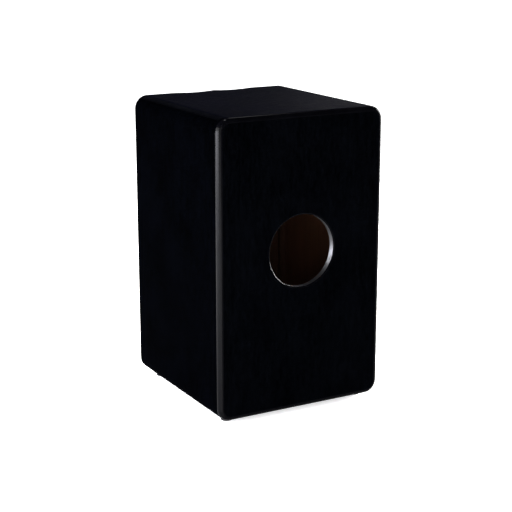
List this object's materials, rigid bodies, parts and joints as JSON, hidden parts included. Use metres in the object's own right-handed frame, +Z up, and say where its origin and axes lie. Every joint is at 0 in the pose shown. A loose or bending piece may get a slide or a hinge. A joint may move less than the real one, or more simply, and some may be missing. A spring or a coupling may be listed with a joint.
{
  "type": "cajon",
  "caption": "Upright wooden box drum to sit on: thin playing plate in front, round sound hole behind, rubber feet, and inner strings tightened with hex key screws through the base.",
  "frame": {"origin": "on the floor, under the middle of the box", "axes": "+Z up, -Y towards the playing plate, +Y towards the back with the sound hole, +X to the right of someone who faces the playing plate"},
  "size_m": [0.3, 0.3, 0.492],
  "materials": {
    "black_lacquer": "satin black lacquer over open-grained wood",
    "plate_veneer": "satin clear lacquer over straight-grained brown veneer",
    "frame_wood": "raw sawn softwood",
    "hardwood": "raw planed hardwood",
    "steel": "zinc-plated steel",
    "dark_steel": "black oxide steel",
    "string_steel": "plain drawn steel wire",
    "brass": "plain brass",
    "aluminium": "milled aluminium",
    "rubber": "matte black rubber"
  },
  "bodies": {
    "box": {"back_panel": "black_lacquer", "side_panel_left": "black_lacquer", "side_panel_right": "black_lacquer", "seat_panel": "black_lacquer", "base_panel": "black_lacquer", "playing_plate": "plate_veneer", "plate_screws": "dark_steel", "batten_left": "frame_wood", "batten_right": "frame_wood", "batten_bottom": "frame_wood", "corner_block_top_left": "frame_wood", "corner_block_top_right": "frame_wood", "corner_block_bottom_left": "frame_wood", "corner_block_bottom_right": "frame_wood", "anchor_bar": "hardwood", "anchor_screws": "steel", "string_ball_ends": "brass", "tension_washers": "steel", "tuner_block": "hardwood", "tuner_block_screws": "steel", "foot_front_left": "rubber", "foot_front_right": "rubber", "foot_back_left": "rubber", "foot_back_right": "rubber", "foot_washers": "steel", "foot_screws": "steel"},
    "string_carrier_left": {"string_carrier_left": "aluminium", "string_crimps_left": "brass", "strings_left": "string_steel"},
    "string_carrier_right": {"string_carrier_right": "aluminium", "string_crimps_right": "brass", "strings_right": "string_steel"},
    "tension_screw_left": {"tension_screw_left": "dark_steel"},
    "tension_screw_right": {"tension_screw_right": "dark_steel"}
  },
  "joints": [
    {"name": "tension_screw_left_turn", "type": "hinge", "parent": "box", "child": "tension_screw_left", "pos_m": [-0.045, -0.123, 0.0178], "axis": [0, 0, 1], "range_deg": [-1080, 1080]},
    {"name": "string_carrier_left_slide", "type": "slide", "parent": "box", "child": "string_carrier_left", "axis": [0, 0, -1], "range_m": [-0.003, 0.003], "deforming": ["strings_left"]},
    {"name": "tension_screw_right_turn", "type": "hinge", "parent": "box", "child": "tension_screw_right", "pos_m": [0.045, -0.123, 0.0178], "axis": [0, 0, 1], "range_deg": [-1080, 1080]},
    {"name": "string_carrier_right_slide", "type": "slide", "parent": "box", "child": "string_carrier_right", "axis": [0, 0, -1], "range_m": [-0.003, 0.003], "deforming": ["strings_right"]}
  ],
  "couplings": [
    {"joint": "tension_screw_left_turn", "follows": "string_carrier_left_slide", "rad_per_m": 6283.2},
    {"joint": "tension_screw_right_turn", "follows": "string_carrier_right_slide", "rad_per_m": 6283.2}
  ]
}
